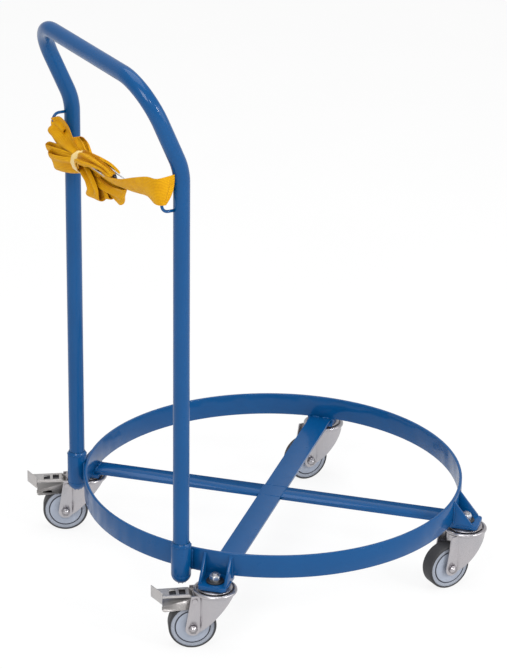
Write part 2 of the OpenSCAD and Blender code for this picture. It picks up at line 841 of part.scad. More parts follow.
module buckle_frame() {
    base_y = -webbing_t / 2 - frame_gap - buckle_t;
    slant = 6;
    color(zinc) at_buckle() difference() {
        union() {
            translate([0, base_y, -buckle_w / 2]) cube([buckle_l, buckle_t, buckle_w]);
            for (s = [0, 1]) mirror([0, 0, s])
                translate([0, base_y, buckle_w / 2 - buckle_t]) linear_extrude(height = buckle_t)
                    polygon([
                        [slant, 0], [buckle_l, 0], [buckle_l - slant, cheek_rise - base_y],
                        [cam_x - cam_r - 1, cheek_rise - base_y]
                    ]);
        }
        translate([cam_x, cam_y, 0])
            cylinder(r = cam_pin_r, h = buckle_w + 2, center = true);
    }
}

// Cam with its thumb plate, which presses the webbing against the frame
module buckle_cam() {
    wide = buckle_w - 2 * buckle_t - 1;
    plate_l = cam_x - 12;
    color(zinc) at_buckle() translate([cam_x, cam_y, 0]) difference() {
        union() {
            cylinder(r = cam_r, h = wide, center = true);
            translate([-plate_l, cam_r - buckle_t, -wide / 2]) cube([plate_l, buckle_t, wide]);
        }
        cylinder(r = cam_pin_r + run_fit, h = wide + 2, center = true);
    }
}

module buckle_pin() {
    color(zinc) at_buckle() translate([cam_x, cam_y, 0]) {
        cylinder(r = cam_pin_r, h = buckle_w, center = true);
        for (s = [0, 1]) mirror([0, 0, s])
            translate([0, 0, buckle_w / 2]) cylinder(r = cam_pin_r + 1.5, h = 1.5);
    }
}

ring();
bar_long();
bar_halves();
for (k = [0:3]) {
    bracket(k);
    race(k);
    fork(k);
    balls(k);
    axle(k);
    core(k);
    tyre(k);
    guards(k);
}
for (k = BRAKED) {
    lever(k);
    release(k);
    pedal_pin(k);
}
sleeve(-1);  // sleeve_near
sleeve(1);  // sleeve_far
sleeve_caps();
sleeve_welds();
king_bolts();
king_nuts();
king_washers();
bow();
eyes();
strap_loops();
strap_lead();
strap_web();
strap_tail();
strap_bundle();
strap_tie();
buckle_frame();
buckle_cam();
buckle_pin();
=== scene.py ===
"""Looks of the drum trolley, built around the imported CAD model.

Lengths are written in millimetres and turned into metres by MM. The frame is the
CAD model's: Z = 0 is the top of the cross bars, and the handle stands on the -X side.
"""
import math

import bpy
import numpy as np
from mathutils import Matrix, Vector


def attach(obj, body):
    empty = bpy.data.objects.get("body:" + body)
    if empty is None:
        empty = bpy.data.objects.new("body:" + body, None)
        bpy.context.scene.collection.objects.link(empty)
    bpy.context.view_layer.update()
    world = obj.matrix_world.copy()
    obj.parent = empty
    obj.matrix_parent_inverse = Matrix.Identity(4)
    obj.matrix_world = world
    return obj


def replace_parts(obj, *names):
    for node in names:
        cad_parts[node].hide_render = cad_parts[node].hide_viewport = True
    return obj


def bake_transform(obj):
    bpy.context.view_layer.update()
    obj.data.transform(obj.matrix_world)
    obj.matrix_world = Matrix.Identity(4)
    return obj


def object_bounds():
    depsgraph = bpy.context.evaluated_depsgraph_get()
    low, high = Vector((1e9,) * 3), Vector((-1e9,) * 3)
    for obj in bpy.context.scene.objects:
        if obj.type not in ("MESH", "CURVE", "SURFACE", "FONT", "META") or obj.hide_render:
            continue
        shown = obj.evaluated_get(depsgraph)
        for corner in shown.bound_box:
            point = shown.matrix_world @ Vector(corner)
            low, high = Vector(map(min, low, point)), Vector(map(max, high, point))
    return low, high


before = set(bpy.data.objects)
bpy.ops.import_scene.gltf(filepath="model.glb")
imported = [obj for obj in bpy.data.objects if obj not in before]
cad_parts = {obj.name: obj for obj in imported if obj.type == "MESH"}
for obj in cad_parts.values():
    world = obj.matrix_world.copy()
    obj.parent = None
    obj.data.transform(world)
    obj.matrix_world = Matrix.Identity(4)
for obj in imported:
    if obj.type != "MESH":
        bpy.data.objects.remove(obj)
cad_low, cad_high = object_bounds()

MM = 0.001
SIDES = {"front": 225, "left": 135, "right": 315, "back": 45}

# The camera, fitted to the photograph
CAMERA_AZIMUTH = -29.02
CAMERA_ELEVATION = 22.79
CAMERA_ROLL = 0.70
CAMERA_DISTANCE = 4842.93
CAMERA_TARGET = (-42.36, 0.08, 304.52)
CAMERA_FOCAL_PIXELS = 2839.17
PHOTO_HEIGHT_PIXELS = 669
SENSOR = 36


def place_camera():
    """The camera at the photograph's viewpoint."""
    azimuth, elevation = math.radians(CAMERA_AZIMUTH), math.radians(CAMERA_ELEVATION)
    back = Vector((
        math.sin(azimuth) * math.cos(elevation),
        -math.cos(azimuth) * math.cos(elevation),
        math.sin(elevation),
    ))
    right = Vector((math.cos(azimuth), math.sin(azimuth), 0))
    turn = Matrix.Rotation(math.radians(CAMERA_ROLL), 3, back)
    right = turn @ right
    up = back.cross(right)
    data = bpy.data.cameras.new("camera")
    data.sensor_width = SENSOR
    data.lens = CAMERA_FOCAL_PIXELS / PHOTO_HEIGHT_PIXELS * SENSOR
    data.clip_end = 50
    camera = bpy.data.objects.new("camera", data)
    place = (Vector(CAMERA_TARGET) + back * CAMERA_DISTANCE) * MM
    camera.matrix_world = Matrix.Translation(place) @ Matrix((right, up, back)).transposed().to_4x4()
    bpy.context.scene.collection.objects.link(camera)
    bpy.context.scene.camera = camera


place_camera()


# Node helpers

def new_material(name):
    """A material with its node tree and its Principled shader."""
    material = bpy.data.materials.new(name)
    material.use_nodes = True
    return material, material.node_tree, material.node_tree.nodes["Principled BSDF"]


def add(tree, kind, inputs=None, **settings):
    """A node whose inputs are set to values or linked to sockets."""
    node = tree.nodes.new(kind)
    for key, value in settings.items():
        setattr(node, key, value)
    for key, value in (inputs or {}).items():
        if isinstance(value, bpy.types.NodeSocket):
            tree.links.new(value, node.inputs[key])
        else:
            node.inputs[key].default_value = value
    return node


def math_node(tree, operation, a, b=0.0):
    return add(tree, "ShaderNodeMath", {0: a, 1: b}, operation=operation).outputs[0]


def noise(tree, place, scale, detail=3.0, roughness=0.5):
    """Noise between about 0 and 1 at a place, with scale in features per metre."""
    inputs = {"Vector": place, "Scale": scale, "Detail": detail, "Roughness": roughness}
    return add(tree, "ShaderNodeTexNoise", inputs).outputs[0]


def mix_colours(tree, factor, first, second):
    """A colour between two, by factor."""
    node = add(tree, "ShaderNodeMix", data_type="RGBA")
    tree.links.new(factor, node.inputs["Factor"])
    sockets = [s for s in node.inputs if s.type == "RGBA"]
    for socket, value in zip(sockets, (first, second)):
        if isinstance(value, bpy.types.NodeSocket):
            tree.links.new(value, socket)
        else:
            socket.default_value = (*value, 1)
    return [s for s in node.outputs if s.type == "RGBA"][0]


def spread(tree, value, low, high, to_low, to_high):
    """Maps value from low..high to to_low..to_high, clamped."""
    inputs = {"Value": value, "From Min": low, "From Max": high, "To Min": to_low, "To Max": to_high}
    return add(tree, "ShaderNodeMapRange", inputs).outputs[0]


def bump(tree, height, strength, distance, normal=None):
    inputs = {"Height": height, "Strength": strength, "Distance": distance}
    if normal is not None:
        inputs["Normal"] = normal
    return add(tree, "ShaderNodeBump", inputs).outputs[0]


def object_place(tree):
    return add(tree, "ShaderNodeTexCoord").outputs["Object"]


def stretched(tree, place, factors):
    return add(tree, "ShaderNodeMapping", {"Vector": place, "Scale": factors}).outputs[0]


# Materials

def powder_coat(name, light, deep):
    """Glossy powder coat: soft orange peel under a clear coat, a little uneven in colour."""
    material, tree, shader = new_material(name)
    place = object_place(tree)
    patches = noise(tree, place, 14, 4)
    colour = mix_colours(tree, spread(tree, patches, 0.3, 0.7, 0, 1), deep, light)
    tree.links.new(colour, shader.inputs["Base Color"])
    tree.links.new(spread(tree, noise(tree, place, 45), 0.3, 0.7, 0.27, 0.40), shader.inputs["Roughness"])
    peel = noise(tree, place, 420, 2)
    grain = noise(tree, place, 1600, 1)
    height = math_node(tree, "ADD", peel, math_node(tree, "MULTIPLY", grain, 0.25))
    tree.links.new(bump(tree, height, 0.10, 0.0002), shader.inputs["Normal"])
    shader.inputs["Coat Weight"].default_value = 0.4
    shader.inputs["Coat Roughness"].default_value = 0.13
    shader.inputs["Specular IOR Level"].default_value = 0.08
    return material


def plated_steel(name, base, tint, rough=(0.24, 0.40), metal=0.92, grain=(1400, 1400, 3600)):
    """Zinc-plated steel: cloudy passivation, fine drawing lines and a soft gloss."""
    material, tree, shader = new_material(name)
    place = object_place(tree)
    clouds = noise(tree, place, 22, 3, 0.5)
    colour = mix_colours(tree, spread(tree, clouds, 0.3, 0.75, 0, 1), base, tint)
    tree.links.new(colour, shader.inputs["Base Color"])
    lines = noise(tree, stretched(tree, place, grain), 1, 3)
    tree.links.new(spread(tree, lines, 0.3, 0.7, *rough), shader.inputs["Roughness"])
    tree.links.new(bump(tree, lines, 0.03, 0.00005), shader.inputs["Normal"])
    shader.inputs["Metallic"].default_value = metal
    return material


def moulded(name, light, deep, rough=0.45, specks=900):
    """Moulded plastic or rubber: fine spark-eroded grain and slight marbling."""
    material, tree, shader = new_material(name)
    place = object_place(tree)
    marbling = noise(tree, place, 30, 3)
    colour = mix_colours(tree, spread(tree, marbling, 0.3, 0.7, 0, 1), deep, light)
    tree.links.new(colour, shader.inputs["Base Color"])
    grain = noise(tree, place, specks, 2)
    tree.links.new(spread(tree, grain, 0.3, 0.7, rough - 0.06, rough + 0.08), shader.inputs["Roughness"])
    tree.links.new(bump(tree, grain, 0.25, 0.00012), shader.inputs["Normal"])
    return material


RIBS_ACROSS = 19
PICK_PITCH = 1.7


def woven(name, light, deep, shade):
    """Woven polyester: ribs along the webbing crossed by its picks, in UV metres."""
    material, tree, shader = new_material(name)
    uv = add(tree, "ShaderNodeUVMap", uv_map="webbing").outputs[0]
    split = add(tree, "ShaderNodeSeparateXYZ", {0: uv})
    across, along = split.outputs[0], split.outputs[1]
    rib_phase = math_node(tree, "MULTIPLY", across, RIBS_ACROSS * math.pi)
    ribs = math_node(tree, "ABSOLUTE", math_node(tree, "SINE", rib_phase))
    rib_number = math_node(tree, "FLOOR", math_node(tree, "MULTIPLY", across, RIBS_ACROSS))
    pick_phase = math_node(tree, "MULTIPLY", along, math.pi / (PICK_PITCH * MM))
    shifted = math_node(tree, "ADD", pick_phase, math_node(tree, "MULTIPLY", rib_number, math.pi / 2))
    picks = math_node(tree, "ABSOLUTE", math_node(tree, "SINE", shifted))
    weave = math_node(tree, "MULTIPLY", ribs, spread(tree, picks, 0, 1, 0.55, 1))
    place = object_place(tree)
    wear = noise(tree, place, 55, 4)
    base = mix_colours(tree, spread(tree, wear, 0.32, 0.7, 0, 1), deep, light)
    # Painted shade: the colour goes towards the shade colour in the hollows between the ribs and picks.
    colour = mix_colours(tree, spread(tree, weave, 0, 0.7, 1, 0), base, shade)
    tree.links.new(colour, shader.inputs["Base Color"])
    tree.links.new(bump(tree, weave, 0.5, 0.0004), shader.inputs["Normal"])
    shader.inputs["Roughness"].default_value = 0.62
    shader.inputs["Specular IOR Level"].default_value = 0.1
    shader.inputs["Sheen Weight"].default_value = 0.02
    shader.inputs["Sheen Roughness"].default_value = 0.4
    return material


BLUE = powder_coat("blue_coat", (0.0010, 0.066, 0.209), (0.0008, 0.060, 0.193))
ZINC = plated_steel("zinc", (0.48, 0.455, 0.47), (0.42, 0.415, 0.44), (0.25, 0.33))
PEDAL_ZINC = plated_steel("pedal_zinc", (0.50, 0.475, 0.46), (0.46, 0.45, 0.455), (0.40, 0.48), 0.7)
BRIGHT_ZINC = plated_steel("bright_zinc", (0.82, 0.82, 0.82), (0.7, 0.73, 0.78), (0.12, 0.22))
BALL_STEEL = plated_steel("ball_steel", (0.75, 0.75, 0.77), (0.68, 0.7, 0.74), (0.08, 0.14))
BUCKLE_STEEL = plated_steel("buckle_steel", (0.66, 0.66, 0.68), (0.50, 0.52, 0.57), (0.25, 0.42))
# The washers' near-black colour is partly painted shade: it stands for the deep shade round each caster nut as well as
# for the washer itself.
WASHER_AND_NUT_SHADE = moulded("washer", (0.012, 0.014, 0.02), (0.007, 0.008, 0.012), 0.5)
TREAD = moulded("tread", (0.036, 0.036, 0.040), (0.022, 0.022, 0.025), 0.62, 1300)
RIM = moulded("rim", (0.31, 0.335, 0.39), (0.28, 0.305, 0.36), 0.42)
GUARD = moulded("guard", (0.33, 0.365, 0.44), (0.30, 0.335, 0.405), 0.40)
# The groove colour is painted shade: a near-black ring on each wheel face stands for the shade inside the groove at the
# thread guard.
GROOVE_SHADE = moulded("groove", (0.030, 0.034, 0.05), (0.02, 0.022, 0.03), 0.6)
WEBBING = woven("webbing", (0.73, 0.385, 0.004), (0.62, 0.300, 0.003), (0.44, 0.185, 0.002))
TIE = moulded("tie", (0.74, 0.55, 0.22), (0.66, 0.46, 0.15), 0.28, 500)
LEAF = plated_steel("spring_leaf", (0.10, 0.10, 0.11), (0.06, 0.06, 0.07), (0.35, 0.5), 0.8)


# Mesh helpers

def new_piece(name, vertices, faces, material, body, smooth_angle=35):
    """A mesh object of points in millimetres, finished and riding on a body, if one is named."""
    mesh = bpy.data.meshes.new(name)
    points = [tuple(float(x) * MM for x in v) for v in vertices]
    mesh.from_pydata(points, [], [tuple(int(i) for i in f) for f in faces])
    mesh.validate()
    mesh.update()
    piece = bpy.data.objects.new(name, mesh)
    bpy.context.scene.collection.objects.link(piece)
    mesh.materials.append(material)
    mesh.shade_smooth()
    mesh.set_sharp_from_angle(angle=math.radians(smooth_angle))
    if body:
        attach(piece, body)
    return piece


class Solid:
    """Collects closed shapes, so that like pieces become one mesh."""

    def __init__(self):
        self.vertices = []
        self.faces = []

    def add(self, vertices, faces):
        start = len(self.vertices)
        self.vertices += [tuple(v) for v in vertices]
        self.faces += [tuple(i + start for i in f) for f in faces]

    def piece(self, name, material, body, slot, smooth_angle=35):
        return new_piece(name, self.vertices, self.faces, material, body, smooth_angle)


def rings_to_faces(count, size, closed=False, capped=True):
    """Faces that join rings of points, each ring with size points."""
    faces = []
    last = count if closed else count - 1
    for i in range(last):
        a, b = i * size, (i + 1) % count * size
        faces += [(a + j, a + (j + 1) % size, b + (j + 1) % size, b + j) for j in range(size)]
    if capped and not closed:
        faces.append(tuple(reversed(range(size))))
        faces.append(tuple(range((count - 1) * size, count * size)))
    return faces


def spline(points, samples):
    """Points along a Catmull-Rom curve through the given points, evenly in parameter."""
    given = np.array(points, float)
    padded = np.vstack([2 * given[0] - given[1], given, 2 * given[-1] - given[-2]])
    out = []
    for t in np.linspace(0, len(given) - 1, samples):
        i = min(int(t), len(given) - 2)
        f = t - i
        p0, p1, p2, p3 = padded[i:i + 4]
        out.append(0.5 * (2 * p1 + (p2 - p0) * f + (2 * p0 - 5 * p1 + 4 * p2 - p3) * f ** 2
                          + (3 * p1 - p0 - 3 * p2 + p3) * f ** 3))
    return np.array(out)


def unit(v):
    length = np.linalg.norm(v, axis=-1, keepdims=True)
    return v / np.maximum(length, 1e-9)


# CAD nodes that keep their shape: softened edges and their material

def dress(node, material, edge):
    """Gives a CAD node its material, smooth round faces and bevelled edges of a width in mm."""
    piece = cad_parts[node]
    mesh = piece.data
    mesh.materials.clear()
    mesh.materials.append(material)
    weld = piece.modifiers.new("weld", "WELD")
    weld.merge_threshold = 0.004 * MM
    if edge > 0:
        bevel = piece.modifiers.new("bevel", "BEVEL")
        bevel.width = edge * MM
        bevel.segments = 2
        bevel.limit_method = "ANGLE"
        bevel.angle_limit = math.radians(40)
        bevel.use_clamp_overlap = True
        bevel.harden_normals = True
    mesh.shade_smooth()
    return piece


def dress_all():
    """Materials and edges of every CAD node that stays in view."""
    for node in ("ring", "bar_long", "bar_halves", "sleeve_near", "sleeve_far", "sleeve_caps"):
        dress(node, BLUE, 0.6)
    dress("eyes", BLUE, 0)
    dress("king_washers", WASHER_AND_NUT_SHADE, 0.4)
    dress("king_bolts", ZINC, 0.5)
    for side in SIDES:
        dress(f"bracket_{side}", BLUE, 0.8)
        dress(f"race_{side}", ZINC, 0.3)
        dress(f"fork_{side}", ZINC, 0.4)
        dress(f"balls_{side}", BALL_STEEL, 0)
        dress(f"axle_{side}", ZINC, 0)
        dress(f"core_{side}", RIM, 0.3)
        dress(f"tyre_{side}", TREAD, 0)
        dress(f"guards_{side}", GUARD, 0.3)
    for side in ("front", "left"):
        dress(f"lever_{side}", PEDAL_ZINC, 0.5)
        dress(f"release_{side}", PEDAL_ZINC, 0.5)
        dress(f"pedal_pin_{side}", ZINC, 0.5)
    dress("buckle_frame", BUCKLE_STEEL, 0.4)
    dress("buckle_cam", BUCKLE_STEEL, 0.4)
    dress("buckle_pin", BUCKLE_STEEL, 0.4)


dress_all()


# Swept pieces: the handle's tube and weld beads

UPRIGHT = (-284.147, 198.963)
FOOT_Z = -1.8
BEND_Z = 703.0
BEND_R = 100.0
LEAN = math.radians(24)
LEAN_L = 160.0
CORNER_R = 72.0
TUBE_R = 13.45
RING_RI = 325.0
RING_RO = 330.0
RING_H = 40.0
SLEEVE_R = 16.78
SLEEVE_TOP = 56.0
SWIVEL_R = 346.0


def sweep(solid, path, radii, sides=24, flat=1.0):
    """A closed round bar along a path. Each point has its own radius."""
    path = np.array(path, float)
    radii = np.broadcast_to(np.array(radii, float), len(path))
    tangent = unit(np.gradient(path, axis=0))
    across = unit(np.cross(tangent[0], (0.31, 0.17, 0.93) if abs(tangent[0][2]) < 0.9 else (0, 1, 0)))
    angles = np.linspace(0, 2 * math.pi, sides, endpoint=False)
    vertices = []
    for point, direction, radius in zip(path, tangent, radii):
        across = unit(across - direction * np.dot(across, direction))
        upward = np.cross(direction, across)
        for angle in angles:
            vertices.append(point + radius * (math.cos(angle) * across + flat * math.sin(angle) * upward))
    solid.add(vertices, rings_to_faces(len(path), sides))


def bow_path():
    """The middle line of the handle's tube, from one foot to the other."""
    x, y = UPRIGHT
    cut = BEND_R * math.tan(LEAN / 2)
    points = [(x, y, z) for z in np.linspace(FOOT_Z, BEND_Z - cut, 20)]
    for angle in np.linspace(0, LEAN, 14)[1:]:
        points.append((x - BEND_R + BEND_R * math.cos(angle), y, BEND_Z - cut + BEND_R * math.sin(angle)))
    top = lambda s, side: (x - s * math.sin(LEAN), side, BEND_Z + s * math.cos(LEAN))
    points += [top(s, y) for s in np.linspace(cut, LEAN_L - CORNER_R, 6)[1:]]
    for angle in np.linspace(0, math.pi / 2, 26)[1:]:
        points.append(top(LEAN_L - CORNER_R + CORNER_R * math.sin(angle), y - CORNER_R + CORNER_R * math.cos(angle)))
    half = points + [top(LEAN_L, side) for side in np.linspace(y - CORNER_R, 0, 8)[1:]]
    return half + [(px, -py, pz) for px, py, pz in reversed(half[:-1])]


def build_bow():
    solid = Solid()
    sweep(solid, bow_path(), TUBE_R, 64)
    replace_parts(solid.piece("handle_tube", BLUE, "handle", "blue_coat", 60), "bow")


def bead(solid, start, end, radius, pitch=2.6, sides=10):
    """A weld bead between two points: scales that follow one another, tapered at both ends."""
    start, end = np.array(start, float), np.array(end, float)
    length = np.linalg.norm(end - start)
    count = max(int(length / 0.55), 8)
    t = np.linspace(0, 1, count)
    scale = (t * length / pitch) % 1
    taper = np.minimum(1, np.minimum(t, 1 - t) * length / (1.6 * radius) + 0.25)
    radii = radius * taper * (0.84 + 0.18 * np.sqrt(np.maximum(1 - (1.6 * scale - 0.6) ** 2, 0)))
    wander = 0.18 * np.sin(t * length * 1.9 + start[1])
    axis = unit(end - start)
    aside = unit(np.cross(axis, (0.3, 0.5, 0.8)))
    path = start + t[:, None] * (end - start) + wander[:, None] * aside
    sweep(solid, path, radii, sides)


def turned(points, degrees):
    """Points turned about the ring's axis."""
    c, s = math.cos(math.radians(degrees)), math.sin(math.radians(degrees))
    return [(c * x - s * y, s * x + c * y, z) for x, y, z in points]


WELD_R = 2.5
BRACKET_HALF = 24.0
BAR_HALF = 20.0
BAR_T = 6.0
BASE_Z = -12.0
BASE_OUT_X = 371.0


def build_sleeve_welds():
    """Beads that hold the sleeves on the ring, at the CAD beads' places."""
    x, y = UPRIGHT
    middle = math.hypot(x, y)
    to_ring, to_sleeve = RING_RO + WELD_R, SLEEVE_R + WELD_R
    along = (middle ** 2 + to_ring ** 2 - to_sleeve ** 2) / (2 * middle)
    aside = math.sqrt(to_ring ** 2 - along ** 2)
    solid = Solid()
    for heading in (math.degrees(math.atan2(y, x)), math.degrees(math.atan2(-y, x))):
        for side in (-1, 1):
            start, end = turned([(along, side * aside, 1), (along, side * aside, RING_H - 1)], heading)
            bead(solid, start, end, WELD_R)
    piece = solid.piece("sleeve_beads", BLUE, "frame", "blue_coat", 50)
    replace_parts(piece, "sleeve_welds")


def build_frame_welds():
    """Beads at the brackets, at the bars' ends and where the bars cross."""
    solid = Solid()
    on_ring = math.sqrt(RING_RO ** 2 - BRACKET_HALF ** 2) + 0.6
    bar_end = math.sqrt(RING_RI ** 2 - BAR_HALF ** 2) - 0.6
    for seat in SIDES.values():
        for side in (-1, 1):
            edge = side * BRACKET_HALF
            for start, end, radius in (
                ((on_ring, edge + side * 0.5, -5), (on_ring, edge + side * 0.5, 36), 1.7),
                ((on_ring + 4, edge + side * 0.3, BASE_Z + 4.5), (BASE_OUT_X - 10, edge + side * 0.3, BASE_Z + 4.5), 1.2),
                ((on_ring + 2, side * (BAR_HALF - 0.6), -BAR_T), (BASE_OUT_X - 10, side * (BAR_HALF - 0.6), -BAR_T), 1.4),
                ((bar_end, side * (BAR_HALF - 3), 0.2), (bar_end, side * 2, 0.2), 1.9),
                ((BAR_HALF + 0.8, side * (BAR_HALF + 0.8), -0.8), (BAR_HALF + 0.8, side * (BAR_HALF + 0.8), -5.2), 2.2),
            ):
                a, b = turned([start, end], seat)
                bead(solid, a, b, radius)
    for heading in (0, 90):
        for side in (-1, 1):
            a, b = turned([(-BAR_HALF, side * (BAR_HALF + 0.4), -0.4), (BAR_HALF, side * (BAR_HALF + 0.4), -0.4)], 45 + heading)
            bead(solid, a, b, 1.1)
    solid.piece("frame_beads", BLUE, "frame", "blue_coat", 50)


def build_sleeve_details():
    """The rippled bead under each collar, and drips of coating at the round lower ends."""
    solid = Solid()
    x, y = UPRIGHT
    for side in (-1, 1):
        angles = np.linspace(0, 2 * math.pi, 140)
        ring = [(x + (SLEEVE_R - 0.1) * math.cos(a), side * y + (SLEEVE_R - 0.1) * math.sin(a), 50.4) for a in angles]
        sweep(solid, ring, 0.55 + 0.35 * np.maximum(np.sin(angles * 17), 0), 8)
        for dx, dy, drop in ((-6, -3, 3.2), (-1, -7, 2.4), (5, -5, 3.0), (-4, 5, 2.4), (4, 5, 2.6)):
            away = math.sqrt(SLEEVE_R ** 2 - dx * dx - dy * dy)
            top = -2.0 - away + 1.2
            path = [(x + dx, side * y + dy, top), (x + dx, side * y + dy, top - drop * 0.6), (x + dx, side * y + dy, top - drop)]
            sweep(solid, path, [1.7, 1.0, 0.15], 10)
    solid.piece("sleeve_details", BLUE, "frame", "blue_coat", 50)


# Nuts and the wheels' grooves

NUT_AF = 17.0
NUT_H = 10.0
NUT_Z = -3.5
BOLT_R = 5.0


def chamfered_nut(solid, centre, across_flats, height, bore, turn):
    """A hexagon nut with turned chamfers above and below, and a countersunk bore."""
    sides = 96
    flat = across_flats / 2
    rows = [(0, 0.5), (0.8, 1.5), (height - 0.9, 1.5), (height - 0.5, 0.7), (height, -0.1)]
    rings = []
    for z, room in rows:
        ring = []
        for k in range(sides):
            angle = 2 * math.pi * k / sides
            wedge = (math.degrees(angle) % 60) - 30
            radius = min(flat / math.cos(math.radians(wedge)), flat + room)
            ring.append((radius * math.cos(angle + turn), radius * math.sin(angle + turn), z))
        rings.append(ring)
    for radius, z in ((bore + 1.0, height), (bore, height - 1.0), (bore, 1.0), (bore + 1.0, 0)):
        rings.append([(radius * math.cos(2 * math.pi * k / sides + turn), radius * math.sin(2 * math.pi * k / sides + turn), z)
                      for k in range(sides)])
    vertices = [np.array(centre) + np.array(p) for ring in rings for p in ring]
    solid.add(vertices, rings_to_faces(len(rings), sides, closed=True))


def build_king_nuts():
    solid = Solid()
    for seat in SIDES.values():
        angle = math.radians(seat)
        centre = (SWIVEL_R * math.cos(angle), SWIVEL_R * math.sin(angle), NUT_Z)
        chamfered_nut(solid, centre, NUT_AF, NUT_H, BOLT_R + 0.02, angle)
    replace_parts(solid.piece("caster_nuts", BRIGHT_ZINC, "frame", "zinc", 30), "king_nuts")


HEADINGS = {"front": 157, "left": 155, "right": 181, "back": 181}
TRAIL = 38.0
AXLE_Z = -82.0
FACE_OFFSET = 12.62
FILLED_BAND = [(30.45, FACE_OFFSET), (32.6, FACE_OFFSET)]
DARK_BAND = [(27.8, 13.28), (28.45, 13.28), (29.9, 12.56)]
RING_DEPTH = 1.2


def wheel_rings(name, kind, material, band):
    """A thin ring on both faces of a wheel, over a band of points given as radius and offset."""
    sides = 96
    a, h = math.radians(SIDES[name]), math.radians(HEADINGS[name])
    centre = np.array((
        SWIVEL_R * math.cos(a) + TRAIL * math.cos(h),
        SWIVEL_R * math.sin(a) + TRAIL * math.sin(h),
        AXLE_Z,
    ))
    along = np.array((math.cos(h), math.sin(h), 0))
    axle = np.array((-math.sin(h), math.cos(h), 0))
    upward = np.array((0, 0, 1))
    first, last = band[0], band[-1]
    profile = [(first[0], first[1] - RING_DEPTH), *band, (last[0], last[1] - RING_DEPTH)]
    solid = Solid()
    for side in (-1, 1):
        points = []
        for radius, offset in profile:
            for angle in np.linspace(0, 2 * math.pi, sides, endpoint=False):
                spoke = math.cos(angle) * along + math.sin(angle) * upward
                points.append(centre + radius * spoke + side * offset * axle)
        faces = rings_to_faces(len(profile), sides, closed=True)
        solid.add(points, [tuple(reversed(f)) for f in faces] if side > 0 else faces)
    solid.piece(f"{kind}_{name}", material, f"wheel_{name}", "guard_grey", 30)


def build_grooves():
    """Each wheel's dark ring of painted shade on its thread guards, where the groove is, and the rim's smooth band
    around it.
    """
    for name in SIDES:
        wheel_rings(name, "groove", GROOVE_SHADE, DARK_BAND)
        wheel_rings(name, "band", RIM, FILLED_BAND)


PIVOT_OUT = 35.0
PIVOT_Z = -31.0
LEAF_HALF_W = 12.4


def build_leaves():
    """The dark spring leaf under the windows of each release lever."""
    profile = [(10, 4.2), (20, 4.6), (34, 4.0), (46, 3.0), (46, 2.2), (34, 3.2), (20, 3.8), (10, 3.4)]
    for name in ("front", "left"):
        a, h = math.radians(SIDES[name]), math.radians(HEADINGS[name])
        along = np.array((math.cos(h), math.sin(h), 0))
        aside = np.array((-math.sin(h), math.cos(h), 0))
        pivot = np.array((SWIVEL_R * math.cos(a), SWIVEL_R * math.sin(a), PIVOT_Z)) + PIVOT_OUT * along
        points = [pivot + x * along + np.array((0, 0, z)) + side * LEAF_HALF_W * aside
                  for side in (-1, 1) for x, z in profile]
        new_piece(f"leaf_{name}", points, rings_to_faces(2, len(profile)), LEAF, f"pedal_{name}", 30)


build_bow()
build_sleeve_welds()
build_frame_welds()
build_sleeve_details()
build_king_nuts()
build_grooves()
build_leaves()


# Stage: floor, backdrop and light

def white_stage():
    """A pale floor and a white surround that the camera and reflections see as white."""
    floor_z = cad_low[2]
    half = 12.0
    mesh = bpy.data.meshes.new("floor")
    corners = [(-half, -half, floor_z), (half, -half, floor_z), (half, half, floor_z), (-half, half, floor_z)]
    mesh.from_pydata(corners, [], [(0, 1, 2, 3)])
    floor = bpy.data.objects.new("floor", mesh)
    bpy.context.scene.collection.objects.link(floor)
    material, tree, shader = new_material("floor")
    speckle = noise(tree, object_place(tree), 3, 3)
    colour = mix_colours(tree, spread(tree, speckle, 0.3, 0.7, 0, 1), (0.86, 0.86, 0.86), (0.9, 0.9, 0.9))
    tree.links.new(colour, shader.inputs["Base Color"])
    shader.inputs["Roughness"].default_value = 0.9
    shader.inputs["Specular IOR Level"].default_value = 0.1
    glow = add(tree, "ShaderNodeEmission", {"Color": (1, 1, 1, 1), "Strength": 1.0})
    rays = add(tree, "ShaderNodeLightPath")
    seen = math_node(tree, "MAXIMUM", rays.outputs["Is Camera Ray"], rays.outputs["Is Glossy Ray"])
    seen = math_node(tree, "MAXIMUM", seen, rays.outputs["Is Transmission Ray"])
    share = math_node(tree, "MULTIPLY", seen, 0.86)
    blend = add(tree, "ShaderNodeMixShader", {0: share, 1: shader.outputs[0], 2: glow.outputs[0]})
    tree.links.new(blend.outputs[0], tree.nodes["Material Output"].inputs["Surface"])
    mesh.materials.append(material)

    world = bpy.data.worlds.new("studio")
    bpy.context.scene.world = world
    world.use_nodes = True
    tree = world.node_tree
    rays = add(tree, "ShaderNodeLightPath")
    seen = math_node(tree, "MAXIMUM", rays.outputs["Is Camera Ray"], rays.outputs["Is Transmission Ray"])
    level = spread(tree, seen, 0, 1, 0.62, 1.0)
    surround = tree.nodes["Background"]
    surround.inputs["Color"].default_value = (1, 1, 1, 1)
    tree.links.new(level, surround.inputs["Strength"])


def lamp(name, place, aim, size, watts, tint=(1, 1, 1)):
    """A soft rectangular lamp that points at a place, both in millimetres."""
    data = bpy.data.lights.new(name, "AREA")
    data.shape = "RECTANGLE"
    data.size, data.size_y = size
    data.energy = watts
    data.color = tint
    light = bpy.data.objects.new(name, data)
    light.location = Vector(place) * MM
    toward = Vector(aim) - Vector(place)
    light.rotation_euler = toward.to_track_quat("-Z", "Y").to_euler()
    bpy.context.scene.collection.objects.link(light)


